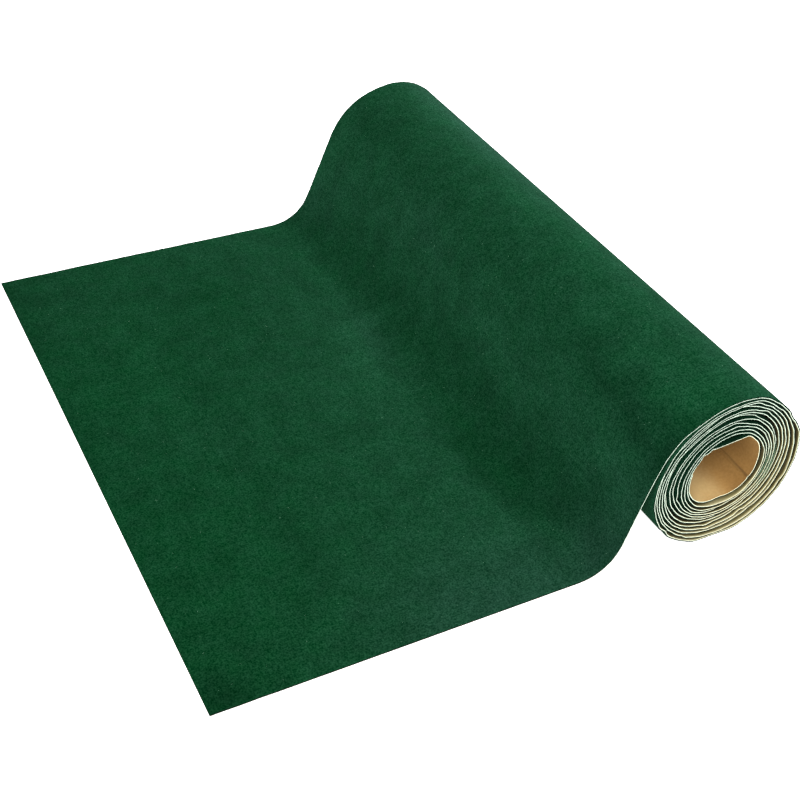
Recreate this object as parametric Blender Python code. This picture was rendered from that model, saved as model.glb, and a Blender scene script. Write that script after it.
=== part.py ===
"""A roll of velvet fabric, wound pile side out round an open bore, with its loose end drawn out flat.

The cloth is one piece, so the model is one solid: the wound form, and the sheet that leaves the top of
it, comes down in an S and lies on the surface as far as a straight cut edge. The roll was drawn out a
little unevenly, so the S is tighter at one selvedge than at the other.

Metres, +Z up. The roll lies along Y and the loose end runs towards -X. The origin is the middle of the
footprint, on the surface that the roll rests on. Sections are drawn in the X-Z plane and lofted along Y.
"""

import math

import bmesh
import bpy
from mathutils import Vector

# Driving dimensions
CLOTH_WIDTH = 0.400  # selvedge to selvedge, along Y
CLOTH_THICKNESS = 0.0012  # pile, ground cloth and backing paper
FOOTPRINT_LENGTH = 0.3446  # cut edge to the far side of the roll, along X
ROLL_RADIUS = 0.0490  # outermost turn, where the loose end leaves it
TURN_PITCH = 0.0022  # what each turn adds to the radius
ROLL_OVAL = 0.0011  # the roll is this much out of round, longest across OVAL_DEG
OVAL_DEG = 125.0
FLAT_SPOT_DEPTH = 0.0004  # how far the roll's own weight flattens it underneath

BORE_HALF_WIDTH = 0.0235  # the innermost turn, an oval
BORE_HALF_HEIGHT = 0.0215
BORE_SHIFT_X = -0.0038  # its centre from the roll's
BORE_SHIFT_Z = 0.0028
CHORD_HEIGHT = 0.0200  # above the bore's centre: there the inner end of the cloth runs straight across
CHORD_SLOPE = 0.09
INNER_STEP = 0.0011  # where the inner cut edge stands off the turn behind it
INNER_STEP_DEG = 160.0

# The S of the loose end at each selvedge: where it leaves the roll, the straight that follows, the
# shoulder's radius, the riser's slope and the foot's radius
LOOSE_END_COLUMNS = ("y", "leave_deg", "shoulder_run", "shoulder_radius", "riser_deg", "foot_radius")
LOOSE_END_ROWS = (
    (-CLOTH_WIDTH / 2, 117.0, 0.0115, 0.025, 71.5, 0.020),
    (CLOTH_WIDTH / 2, 105.0, 0.006, 0.045, 67.5, 0.030),
)

# How finely round stretches are drawn
STATIONS = 9  # sections along the roll
ROLL_STEPS = 72
SHOULDER_STEPS = 7
FOOT_STEPS = 8
BORE_STEPS = 40

ROLL_COLOUR = (0.012, 0.085, 0.035, 1.0)
ROLL_ROUGHNESS = 0.95


class Pen:
    """Draws a line in the section plane from a point and a heading, as straights and arcs."""

    def __init__(self, point, heading_deg):
        self.point = Vector(point)
        self.heading = math.radians(heading_deg)
        self.points = [self.point.copy()]
        self.headings = [self.heading]

    def _step(self, dx, dz, turn=0.0):
        self.point = self.point + Vector((dx, dz))
        self.heading += turn
        self.points.append(self.point.copy())
        self.headings.append(self.heading)

    def forward(self, length):
        self._step(length * math.cos(self.heading), length * math.sin(self.heading))

    def arc(self, radius, turn_deg, steps):
        """Turns left by turn_deg, or right where it is negative."""
        turn = math.radians(turn_deg) / steps
        chord = 2 * radius * math.sin(abs(turn) / 2)
        for _ in range(steps):
            middle = self.heading + turn / 2
            self._step(chord * math.cos(middle), chord * math.sin(middle), turn)

    def offset(self, distance):
        """The same line, moved to the left of its heading by distance."""
        return [
            point + distance * Vector((-math.sin(heading), math.cos(heading)))
            for point, heading in zip(self.points, self.headings)
        ]


def loose_end_at(y):
    """The S's named sizes at a place across the cloth, between those of the two selvedges."""
    near = dict(zip(LOOSE_END_COLUMNS, LOOSE_END_ROWS[0]))
    far = dict(zip(LOOSE_END_COLUMNS, LOOSE_END_ROWS[1]))
    share = (y - near["y"]) / (far["y"] - near["y"])
    return {name: near[name] + share * (far[name] - near[name]) for name in LOOSE_END_COLUMNS}


def on_winding(degrees, turns_in):
    """A point of the winding about its own centre, so many turns in from where the loose end leaves it."""
    radius = ROLL_RADIUS - TURN_PITCH * turns_in
    radius += ROLL_OVAL * math.cos(2 * math.radians(degrees - OVAL_DEG))
    angle = math.radians(degrees)
    return radius * Vector((math.cos(angle), math.sin(angle)))


def outermost_turn(leave_deg):
    """The last turn, from where the loose end leaves it back clockwise to where it is covered again."""
    shares = [step / ROLL_STEPS for step in range(ROLL_STEPS + 1)]
    return [on_winding(leave_deg - 360 * share, share) for share in shares]


def roll_centre(leave_deg):
    """Where the winding's centre lies for its far side to end the footprint and its weight to flatten it."""
    turn = outermost_turn(leave_deg)
    furthest = max(point.x for point in turn)
    lowest = min(point.y for point in turn)
    return Vector((FOOTPRINT_LENGTH / 2 - furthest, -lowest - FLAT_SPOT_DEPTH))


def wound_outline(leave_deg):
    """The outside of the roll in place, flat where it rests."""
    centre = roll_centre(leave_deg)
    placed = [centre + point for point in outermost_turn(leave_deg)]
    return [Vector((point.x, max(point.y, 0.0))) for point in placed]


def loose_end_line(size):
    """The cloth's pile side from the top of the roll down to the cut edge."""
    start = roll_centre(size["leave_deg"]) + on_winding(size["leave_deg"], 0.0)
    pen = Pen(start, size["leave_deg"] + 90)
    pen.forward(size["shoulder_run"])
    down_deg = 180 + size["riser_deg"]
    pen.arc(size["shoulder_radius"], down_deg - math.degrees(pen.heading), SHOULDER_STEPS)
    slope = math.radians(size["riser_deg"])
    foot_height = size["foot_radius"] * (1 - math.cos(slope))
    pen.forward((pen.point.y - CLOTH_THICKNESS - foot_height) / math.sin(slope))
    pen.arc(size["foot_radius"], -size["riser_deg"], FOOT_STEPS)
    pen.forward(pen.point.x + FOOTPRINT_LENGTH / 2)
    return pen


def cloth_outline(y):
    """The outside of one section, from the cut edge along the pile, round the roll and back underneath."""
    size = loose_end_at(y)
    pen = loose_end_line(size)
    pile_side = pen.points[::-1]
    under_side = pen.offset(CLOTH_THICKNESS)
    return pile_side + wound_outline(size["leave_deg"])[1:] + under_side[1:]


def bore_outline(y):
    """The innermost turn: an oval with a straight chord across its top and the inner cut edge's step."""
    size = loose_end_at(y)
    centre = roll_centre(size["leave_deg"]) + Vector((BORE_SHIFT_X, BORE_SHIFT_Z))
    points = []
    for step in range(BORE_STEPS):
        angle = 2 * math.pi * step / BORE_STEPS
        stand_off = INNER_STEP if math.degrees(angle) > INNER_STEP_DEG else 0.0
        across = (BORE_HALF_WIDTH - INNER_STEP + stand_off) * math.cos(angle)
        up = BORE_HALF_HEIGHT * math.sin(angle)
        chord = CHORD_HEIGHT + CHORD_SLOPE * across
        points.append(centre + Vector((across, min(up, chord))))
    return points


def loft(name, outlines, colour):
    """One closed solid through a row of sections. Each is (y, outer ring, inner ring)."""
    mesh = bpy.data.meshes.new(name)
    built = bmesh.new()
    rings = []
    for y, outer, inner in outlines:
        rings.append([[built.verts.new((p.x, y, p.y)) for p in ring] for ring in (outer, inner)])
    for here, there in zip(rings, rings[1:]):
        for ring_here, ring_there in zip(here, there):
            count = len(ring_here)
            for i in range(count):
                j = (i + 1) % count
                built.faces.new((ring_here[i], ring_here[j], ring_there[j], ring_there[i]))
    for end in (rings[0], rings[-1]):
        rims = [built.edges.get((ring[i - 1], ring[i])) for ring in end for i in range(len(ring))]
        bmesh.ops.triangle_fill(built, edges=rims, use_beauty=True)
    bmesh.ops.recalc_face_normals(built, faces=built.faces)
    built.to_mesh(mesh)
    built.free()
    mesh.materials.append(colour)
    mesh.shade_smooth()
    mesh.set_sharp_from_angle(angle=math.radians(35))
    return bpy.data.objects.new(name, mesh)


def velvet_material():
    """Dark bottle-green cotton velvet, with no shine of its own."""
    material = bpy.data.materials.new("green_velvet")
    material.use_nodes = True
    shader = material.node_tree.nodes["Principled BSDF"]
    shader.inputs["Base Color"].default_value = ROLL_COLOUR
    shader.inputs["Roughness"].default_value = ROLL_ROUGHNESS
    shader.inputs["Metallic"].default_value = 0.0
    return material


def build():
    for old in list(bpy.data.objects):
        bpy.data.objects.remove(old, do_unlink=True)
    parts = bpy.data.collections.new("velvet_roll")
    bpy.context.scene.collection.children.link(parts)
    sections = []
    for station in range(STATIONS):
        y = CLOTH_WIDTH * (station / (STATIONS - 1) - 0.5)
        sections.append((y, cloth_outline(y), bore_outline(y)))
    parts.objects.link(loft("velvet_cloth", sections, velvet_material()))


build()
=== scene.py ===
"""A roll of velvet on a paper backing, wound pile side out, with its loose end drawn off the top."""

import math

import bpy
import numpy as np
from mathutils import Matrix, Vector


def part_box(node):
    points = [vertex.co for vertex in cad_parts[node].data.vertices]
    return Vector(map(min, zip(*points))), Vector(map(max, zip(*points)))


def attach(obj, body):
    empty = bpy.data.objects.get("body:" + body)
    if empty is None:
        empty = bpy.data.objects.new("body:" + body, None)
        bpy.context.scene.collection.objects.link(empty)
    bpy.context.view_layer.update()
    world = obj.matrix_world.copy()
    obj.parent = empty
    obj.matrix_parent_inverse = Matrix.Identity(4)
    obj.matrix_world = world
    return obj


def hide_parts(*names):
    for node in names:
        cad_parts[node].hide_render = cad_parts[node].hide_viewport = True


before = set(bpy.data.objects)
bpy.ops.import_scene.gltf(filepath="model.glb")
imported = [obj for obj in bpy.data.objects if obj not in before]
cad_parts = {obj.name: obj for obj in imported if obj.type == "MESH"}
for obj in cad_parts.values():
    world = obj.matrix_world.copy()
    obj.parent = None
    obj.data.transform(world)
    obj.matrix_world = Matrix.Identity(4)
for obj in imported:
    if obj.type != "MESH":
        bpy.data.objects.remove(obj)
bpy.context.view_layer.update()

# ---------------------------------------------------------------------------------------------
# How the cloth lies. One length of it is wound pile side out, twelve times and three quarters, and
# its loose end comes off the top of the roll and down in an S. Both of its layers follow the lines
# worked out here, one for each row of the mesh, along which the tips of the pile lie.
# ---------------------------------------------------------------------------------------------
MM = 0.001
cloth_low, cloth_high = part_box("velvet_cloth")
CLOTH_WIDTH = cloth_high.y - cloth_low.y
CLOTH_THICKNESS = 1.2 * MM
CENTRE_FROM_BACK = 48.8 * MM
CENTRE_HEIGHT = 48.0 * MM
ROLL_CENTRE = np.array((cloth_high.x - CENTRE_FROM_BACK, CENTRE_HEIGHT))

# Each turn's cut edge from the roll's centre, in mm, seen from the near selvedge and read clockwise
TURN_PLACES = ("top", "top right", "right", "low right", "bottom", "low left", "left", "top left")
TURN_RADII = (
    (49.3, 46.4, 49.0, 50.4, 48.2, 46.4, 46.1, 47.7),
    (47.0, 44.4, 45.5, 47.9, 45.6, 43.9, 44.8, 45.8),
    (45.9, 42.6, 42.0, 43.5, 42.0, 42.4, 43.5, 44.0),
    (44.3, 40.7, 39.1, 39.8, 38.7, 40.2, 42.0, 41.9),
    (42.2, 38.7, 36.5, 36.1, 35.9, 38.5, 40.3, 40.8),
    (41.0, 36.7, 34.2, 33.2, 33.5, 36.2, 39.1, 39.2),
    (39.3, 34.3, 32.2, 31.6, 31.7, 33.5, 37.5, 38.3),
    (37.0, 32.7, 30.8, 30.3, 30.2, 31.5, 35.0, 35.8),
    (34.2, 30.7, 29.5, 28.9, 28.4, 30.0, 32.2, 33.5),
    (31.5, 29.2, 28.0, 27.5, 26.8, 28.5, 29.3, 30.0),
    (29.5, 27.0, 26.3, 26.2, 25.1, 26.8, 27.2, 27.9),
    (27.2, 25.3, 24.6, 24.6, 22.4, 24.2, 25.8, 26.0),
    (25.4, 23.6, 20.7, 19.5, 17.8, 22.0, 24.5, 24.6),
)
LEAVING_RADII = (49.0, 49.3)  # the last two places before the top, where the loose end leaves the roll
TIP_FROM_EDGE_LINE = 1.0  # mm, from the pale line of a cut edge out to the tips of its pile
LEAVE_DEG = 117.0  # where the loose end leaves the roll at the near selvedge
FAR_LEAVE_SHIFT_DEG = -12.0  # and how far round from that it leaves at the far one
FAR_SHIFT_TURNS = 0.5  # over how much of the outermost turn that is taken up
INNER_END_DEG = 165.0  # where the inner cut edge lies
LAST_TURN = len(TURN_RADII) - 1
TURN_CLEARANCE = 1.22  # mm, the closest that one turn lies to the next

# The inner end runs straight across the top of the bore: a chord, in mm and degrees
CHORD_DISTANCE = 23.0
CHORD_FACES_DEG = 94.0
CHORD_EARLY_TURNS = 0.08  # by how much it may start before the last turn
CHORD_FACING = 0.5  # the least cosine between its direction and that of a place on it

# The innermost turn has one sharp crease along the roll. Columns of the mesh lie close beside it.
CREASE_DEG = 331.0
CREASE_COLUMNS = (-1.4, -0.8, -0.4, 0.0, 0.4, 0.8, 1.4)  # mm
CREASE_CLEAR = 1.8 * MM  # and the others stay this far away

# Kinks in the cut edges: on which turn, where, how wide, how far out, and how far in along the roll
KINK_COLUMNS = ("turn", "degrees", "half_width_deg", "out_mm", "reach_mm")
NEAR_KINKS = (
    (0, 15, 6, 0.5, 30),
    (0, 33, 6, -1.1, 22),
    (0, 75, 11, 0.6, 30),
    (0, 153, 10, -0.5, 30),
    (0, 221, 4, -0.8, 10),
    (1, 75, 11, 1.4, 20),
    (1, 246, 3, 0.6, 8),
    (1, 333, 3.5, -0.7, 12),
    (1, 342, 14, 1.1, 25),
    (2, 70, 5, -0.6, 10),
    (2, 74, 9, 0.9, 12),
    (2, 305, 3, -0.6, 8),
    (3, 263, 6, 1.0, 10),
    (3, 297, 3.5, -1.5, 12),
    (4, 64, 5, 0.8, 10),
    (4, 262, 6, 0.8, 10),
    (4, 293, 4.5, -0.8, 14),
    (5, 307, 3, -0.7, 8),
    (6, 64, 9, -0.7, 12),
    (6, 337, 5, 1.0, 10),
    (7, 93, 5, 0.5, 9),
    (8, 76, 10, -0.9, 12),
    (8, 92, 6, 0.9, 10),
    (8, 195, 4, 0.8, 12),
    (9, 283, 4, -0.8, 8),
    (10, 290, 4, -0.9, 10),
    (11, 153, 8, 0.3, 9),
    (12, 270, 7, -0.3, 16),
    (12, 331, 1.6, -0.45, 900),
    (12, 352, 16, 0.5, 900),
)
# Where the near selvedge of a turn was drawn in behind the next one: turn, degrees, half width, mm
NEAR_SLIPS = (
    (1, 152, 14, 1.6),
    (1, 200, 40, 0.5),
    (2, 97, 17, 1.4),
    (3, 150, 30, 0.7),
    (4, 20, 30, -0.4),
    (4, 152, 16, 1.7),
    (5, 142, 50, 1.8),
    (6, 318, 42, 1.7),
    (9, 310, 45, 1.8),
    (11, 137.5, 3.5, 1.0),
    (11, 330, 40, 0.5),
)
SLIP_REACH = 12.0 * MM  # how far in along the roll a slip is felt

# Kinks at the far selvedge, in the same columns as the near ones
FAR_KINKS = (
    (0, 100, 35, -0.9, 300),
    (0, 205, 5, -0.7, 14),
    (1, 148, 4, -0.8, 12),
    (2, 318, 5, -0.9, 12),
    (3, 40, 4, 0.7, 10),
    (4, 232, 4, -1.1, 12),
    (5, 20, 6, 0.9, 12),
    (6, 285, 5, -1.0, 10),
    (7, 160, 5, 0.8, 12),
    (8, 330, 4, -0.8, 10),
    (9, 60, 5, 0.7, 10),
    (10, 250, 5, -0.8, 10),
    (11, 20, 6, 0.7, 12),
    (12, 215, 6, -0.7, 12),
)

# The S of the loose end at each selvedge, as straights and arcs in metres and degrees
LOOSE_END_COLUMNS = ("shoulder_run", "shoulder_radius", "riser_deg", "foot_radius")
NEAR_LOOSE_END = (0.0100, 0.0319, 73.6, 0.0231)
FAR_LOOSE_END = (0.0030, 0.0493, 67.9, 0.0295)
SOFT_BENDS = 5.0 * MM  # over how far each bend eases into the next straight
LINE_STEP = 0.25 * MM  # how finely that line is worked out

# Waviness of the turns: how far out, in mm, and how long the waves are. Along the selvedges they are
# short and fade across the roll, and a broad one grows towards the far selvedge.
SETTLES_OVER = 30.0 * MM  # how soon it sets in, after the loose end leaves the roll
EDGE_WAVES_OUT = 0.22
EDGE_WAVES_REACH = 9.0 * MM
NEAR_WAVES = 17.0 * MM
FAR_WAVES = 19.0 * MM
BROAD_WAVES_OUT = 0.5
BROAD_WAVES = 90.0 * MM

# Rows of the mesh across the cloth: close together by the selvedges, where the edges are uneven
SELVEDGE_ROWS = (0.0, 0.5, 1.3, 3.0, 6.0, 11.0, 18.0, 28.0)
MIDDLE_STEPS = 28
WOUND_STEP = 2.0 * MM  # columns of the mesh along the cloth
CURVED_STEP = 2.2 * MM
FLAT_STEP = 5.0 * MM
FINE_POINTS = 8000  # how finely the winding is measured


def turns_in(turn, degrees):
    """How many turns in from the top of the outermost turn a place lies, going clockwise."""
    return turn + ((90.0 - degrees) % 360.0) / 360.0


def ripple(along, wavelength, seed):
    """A soft unevenness from -1 to 1 along the cloth, the same each time."""
    phases = np.random.default_rng(seed).uniform(0.0, 2.0 * math.pi, 3)
    waves = [np.sin(2.0 * math.pi * along / (wavelength * part) + phase)
             for part, phase in zip((1.0, 0.618, 1.7), phases)]
    return sum(waves) / len(waves)


def bell(distance, half_width):
    """A soft hump that is 1 in its middle."""
    return np.exp(-((distance / half_width) ** 2))


def edge_radius(turns):
    """The radius of the cut edge's line that many turns in: a smooth curve through the table."""
    values = np.concatenate((LEAVING_RADII, np.ravel(TURN_RADII)))
    at = turns * len(TURN_PLACES) + len(LEAVING_RADII)
    i = np.clip(np.floor(at).astype(int), 1, len(values) - 3)
    t = at - i
    before, here, after, beyond = values[i - 1], values[i], values[i + 1], values[i + 2]
    bend = 2.0 * before - 5.0 * here + 4.0 * after - beyond
    twist = 3.0 * (here - after) + beyond - before
    return here + 0.5 * t * ((after - before) + t * (bend + t * twist))


def kinks(turns, rows_in, table):
    """What a table of kinks adds to the radius, turns down the array and rows across it."""
    total = np.zeros((len(turns), len(rows_in)))
    for row in table:
        kink = dict(zip(KINK_COLUMNS, row))
        distance = (turns - turns_in(kink["turn"], kink["degrees"])) * 360.0
        fade = np.exp(-rows_in / (kink["reach_mm"] * MM))
        total += kink["out_mm"] * bell(distance, kink["half_width_deg"])[:, None] * fade[None, :]
    return total


selvedge_rows = np.array(SELVEDGE_ROWS) * MM
middle_rows = np.linspace(selvedge_rows[-1], CLOTH_WIDTH - selvedge_rows[-1], MIDDLE_STEPS + 1)
rows_in = np.concatenate((selvedge_rows[:-1], middle_rows, CLOTH_WIDTH - selvedge_rows[-2::-1]))
far_rows_in = CLOTH_WIDTH - rows_in
row_share = rows_in / CLOTH_WIDTH
row_y = cloth_low.y + rows_in

# Columns along the wound part, from where the loose end leaves the roll to the inner cut edge
start_turns = -(LEAVE_DEG - 90.0) / 360.0
end_turns = turns_in(LAST_TURN, INNER_END_DEG)
fine_turns = np.linspace(start_turns, end_turns, FINE_POINTS)
fine_radii = edge_radius(fine_turns) * MM
fine_arc = np.concatenate(([0.0], np.cumsum(2.0 * math.pi * fine_radii[1:] * np.diff(fine_turns))))
wound_count = int(fine_arc[-1] / WOUND_STEP)
crease_arc = np.interp(turns_in(LAST_TURN, CREASE_DEG), fine_turns, fine_arc)
wound_arc = np.linspace(0.0, fine_arc[-1], wound_count + 1)
wound_arc = wound_arc[np.abs(wound_arc - crease_arc) > CREASE_CLEAR]
wound_arc = np.sort(np.concatenate((wound_arc, crease_arc + np.array(CREASE_COLUMNS) * MM)))
wound_turns = np.interp(wound_arc, fine_arc, fine_turns)

settling = (1.0 - np.exp(-wound_arc / SETTLES_OVER))[:, None]
near_fade = settling * np.exp(-rows_in / EDGE_WAVES_REACH)
far_fade = settling * np.exp(-far_rows_in / EDGE_WAVES_REACH)
radii = np.repeat(edge_radius(wound_turns)[:, None] + TIP_FROM_EDGE_LINE, len(rows_in), axis=1)
radii += kinks(wound_turns, rows_in, NEAR_KINKS) + kinks(wound_turns, far_rows_in, FAR_KINKS)
radii += EDGE_WAVES_OUT * ripple(wound_arc, NEAR_WAVES, 3)[:, None] * near_fade
radii += EDGE_WAVES_OUT * ripple(wound_arc, FAR_WAVES, 4)[:, None] * far_fade
radii += BROAD_WAVES_OUT * ripple(wound_arc, BROAD_WAVES, 5)[:, None] * settling * row_share

angles_deg = 90.0 - 360.0 * wound_turns[:, None] + np.zeros(len(rows_in))
shift_share = np.interp(wound_turns, (start_turns, FAR_SHIFT_TURNS), (1.0, 0.0))
angles_deg += FAR_LEAVE_SHIFT_DEG * shift_share[:, None] * row_share[None, :]
angles = np.radians(angles_deg)

# The last turn is cut off straight by the chord, and no turn goes below what the roll rests on
facing = np.cos(np.radians(angles_deg - CHORD_FACES_DEG))
on_chord = (wound_turns > LAST_TURN - CHORD_EARLY_TURNS)[:, None] & (facing > CHORD_FACING)
chord_radii = CHORD_DISTANCE / np.maximum(facing, CHORD_FACING)
radii = np.where(on_chord, np.minimum(radii, chord_radii), radii)
down = np.maximum(-np.sin(angles), 1e-6)
radii = np.minimum(radii, ROLL_CENTRE[1] / MM / down)


def loose_end(share, start, heading):
    """The loose end's line at one row, finely: x, z, the way along it, the foot's end and the cut."""
    sizes = [near + share * (far - near) for near, far in zip(NEAR_LOOSE_END, FAR_LOOSE_END)]
    size = dict(zip(LOOSE_END_COLUMNS, sizes))
    slope = math.radians(size["riser_deg"])
    before, after = 12.0 * MM, 0.27  # line to spare at each end, for the bends to ease into
    kernel = bell(np.arange(-2.0 * SOFT_BENDS, 2.0 * SOFT_BENDS + 0.5 * LINE_STEP, LINE_STEP), SOFT_BENDS)
    riser = 30.0 * MM
    for _ in range(6):  # the riser is lengthened or shortened until the foot meets the surface
        runs = (before, size["shoulder_run"], size["shoulder_radius"] * (math.pi + slope - heading),
                riser, size["foot_radius"] * slope, after)
        headings = (heading - before / ROLL_CENTRE[1], heading, heading, math.pi + slope,
                    math.pi + slope, math.pi, math.pi)
        breaks = np.cumsum((-before, *runs))
        way_arc = np.arange(-before, breaks[-1], LINE_STEP)
        way = np.convolve(np.interp(way_arc, breaks, headings), kernel / kernel.sum(), mode="same")
        kept = (way_arc >= -1e-9) & (way_arc < breaks[-1] - before)
        arc, way = way_arc[kept], way[kept]
        way += (heading - way[0]) * np.exp(-arc / SOFT_BENDS)
        x = start[0] + np.cumsum(np.cos(way)) * LINE_STEP - np.cos(way) * LINE_STEP
        z = start[1] + np.cumsum(np.sin(way)) * LINE_STEP - np.sin(way) * LINE_STEP
        riser += (z[-1] - CLOTH_THICKNESS) / math.sin(slope)
    foot_end = breaks[5] + SOFT_BENDS
    cut = np.interp(-cloth_low.x, -x, arc)
    return x, z, arc, foot_end, cut


def on_roll(radius, angle):
    """The x and z of a place on the roll, from its radius in mm and its angle."""
    return ROLL_CENTRE[0] + radius * MM * np.cos(angle), ROLL_CENTRE[1] + radius * MM * np.sin(angle)


ends = []
for j in range(len(rows_in)):
    first, second = (on_roll(radii[i, j], angles[i, j]) for i in (0, 1))
    leaving = math.atan2(first[1] - second[1], first[0] - second[0]) % (2.0 * math.pi)
    ends.append(loose_end(row_share[j], first, leaving))

# Each turn stays clear of the turn outside it, and the outermost one of the loose end that covers it
COVERED_TO_DEG = 235.0
for j, (x, z, arc, _, _) in enumerate(ends):
    from_centre = np.degrees(np.arctan2(z - ROLL_CENTRE[1], x - ROLL_CENTRE[0])) % 360.0
    reach = np.hypot(x - ROLL_CENTRE[0], z - ROLL_CENTRE[1]) / MM
    beside = (arc < 0.1) & (from_centre < COVERED_TO_DEG)
    below = (wound_turns - 1.0 < start_turns) & (wound_turns > turns_in(0, COVERED_TO_DEG))
    cover = np.interp(angles_deg[below, j] % 360.0, from_centre[beside], reach[beside])
    radii[below, j] = np.minimum(radii[below, j], cover - TURN_CLEARANCE)
for i in np.flatnonzero(wound_turns - 1.0 >= start_turns):
    outer = wound_turns[i] - 1.0
    k = np.searchsorted(wound_turns, outer)
    part = (outer - wound_turns[k - 1]) / (wound_turns[k] - wound_turns[k - 1])
    outside = radii[k - 1] + part * (radii[k] - radii[k - 1])
    radii[i] = np.minimum(radii[i], outside - TURN_CLEARANCE)
wound_x, wound_z = on_roll(radii, angles)

curved_count = round(ends[0][3] / CURVED_STEP)
flat_count = round((ends[0][4] - ends[0][3]) / FLAT_STEP)
loose_x, loose_z, loose_arc = [], [], []
for x, z, arc, foot_end, cut in ends:
    at = np.concatenate((
        np.linspace(0.0, foot_end, curved_count + 1)[1:],
        np.linspace(foot_end, cut, flat_count + 1)[1:],
    ))
    loose_x.append(np.interp(at, arc, x))
    loose_z.append(np.interp(at, arc, z))
    loose_arc.append(at)

# All columns, from the inner cut edge to the outer one, and the ways along the cloth and into it
line_x = np.concatenate((wound_x[::-1], np.array(loose_x).T))
line_z = np.concatenate((wound_z[::-1], np.array(loose_z).T))
wound_part = wound_arc[-1] - wound_arc[::-1]
cloth_arc = np.concatenate((wound_part, wound_arc[-1] + np.array(loose_arc).mean(axis=0)))
column_turns = np.concatenate((wound_turns[::-1], np.full(len(loose_arc[0]), start_turns)))

along_x = np.gradient(line_x, axis=0)
along_z = np.gradient(line_z, axis=0)
along = np.hypot(along_x, along_z)
inward_x, inward_z = -along_z / along, along_x / along

# How far each place is from the cut edge along the cloth, and across it from the near selvedge, in mm
from_cut = (cloth_arc[-1] - cloth_arc)[:, None] / MM + np.zeros(len(rows_in))
across = np.zeros(len(cloth_arc))[:, None] + rows_in / MM

# The same, but wandering, so that soft patches have no straight sides: how far, how long, and a seed
WANDERS_ALONG = ((4.0, 90.0, 31), (1.5, 21.0, 32))
WANDER_ACROSS = (6.0, 70.0, 33)
wandering = from_cut.copy()
for out, length, seed in WANDERS_ALONG:
    wandering += out * ripple(across, length, seed)
out, length, seed = WANDER_ACROSS
sideways = across + out * ripple(from_cut, length, seed)


def patches(table):
    """What a table of soft patches adds up to.

    Each row: its middle along and across the cloth, its half sizes the same two ways, how far it leans
    along for every mm across, and its amount.
    """
    total = np.zeros(from_cut.shape)
    for along_mm, across_mm, half_along, half_across, lean, amount in table:
        aside = sideways - across_mm
        total += amount * bell(wandering - along_mm - lean * aside, half_along) * bell(aside, half_across)
    return total


# Soft dents and swellings of the cloth, as patches in mm outwards. What lies flat can only lift.
SWELLINGS = (
    (193, 228, 12, 42, 0.0, 0.9),
    (58, 300, 22, 55, 0.1, 0.6),
    (120, 330, 35, 50, -0.1, 0.5),
    (15, 16, 5, 16, 0.5, 0.6),
    (28, 12, 4, 16, 0.4, 0.4),
    (243, 215, 12, 24, 0.1, -0.6),
    (250, 330, 14, 40, -0.1, -0.6),
    (266, 150, 14, 34, 0.15, 0.5),
    (278, 300, 20, 50, -0.1, 0.4),
    (302, 42, 12, 36, 0.12, -0.9),
    (336, 32, 12, 26, 0.0, 0.4),
    (305, 0, 5, 9, 0.0, -0.5),
    (297, 0, 16, 12, 0.0, -0.7),
)
swelling = patches(SWELLINGS) * MM
line_x -= inward_x * swelling
line_z -= inward_z * swelling

# The selvedges were cut straight, but in winding the turns slid past each other a little
SLIDES = ((0.45, 420 * MM, 8), (0.16, 60 * MM, 9))  # how far in mm, over what length, and a seed
SLIDING_TURNS = (0.2, 0.8)  # the outermost turn slid least
slid = sum(out * ripple(wound_part, length, seed) for out, length, seed in SLIDES)
slid *= np.interp(wound_turns[::-1], SLIDING_TURNS, (0.0, 1.0))
slide = np.concatenate((slid, np.zeros(len(loose_arc[0])))) * MM
slips = np.zeros(len(column_turns))
for turn, degrees, half_width_deg, in_mm in NEAR_SLIPS:
    slips += in_mm * MM * bell((column_turns - turns_in(turn, degrees)) * 360.0, half_width_deg)
line_y = row_y[None, :] + slide[:, None] + slips[:, None] * np.exp(-rows_in / SLIP_REACH)[None, :]

# ---------------------------------------------------------------------------------------------
# Velvet. Bottle-green cut cotton pile, 0.86 mm high, woven into a thin pale ground cloth. Its cut edges show
# both. It was cut to width and wound with its pile outwards, and handling has stroked the pile this way and
# that. On top of that, its colour carries painted light and shade, and painted sheen towards the top of the
# roll.
# ---------------------------------------------------------------------------------------------
PILE_HEIGHT = 0.86 * MM
GROUND_DEPTH = 0.95 * MM
PILE_EDGE_ROUND = 0.20 * MM
PILE_UNEVEN = (0.12 * MM, 0.10 * MM, 0.0)
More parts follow.
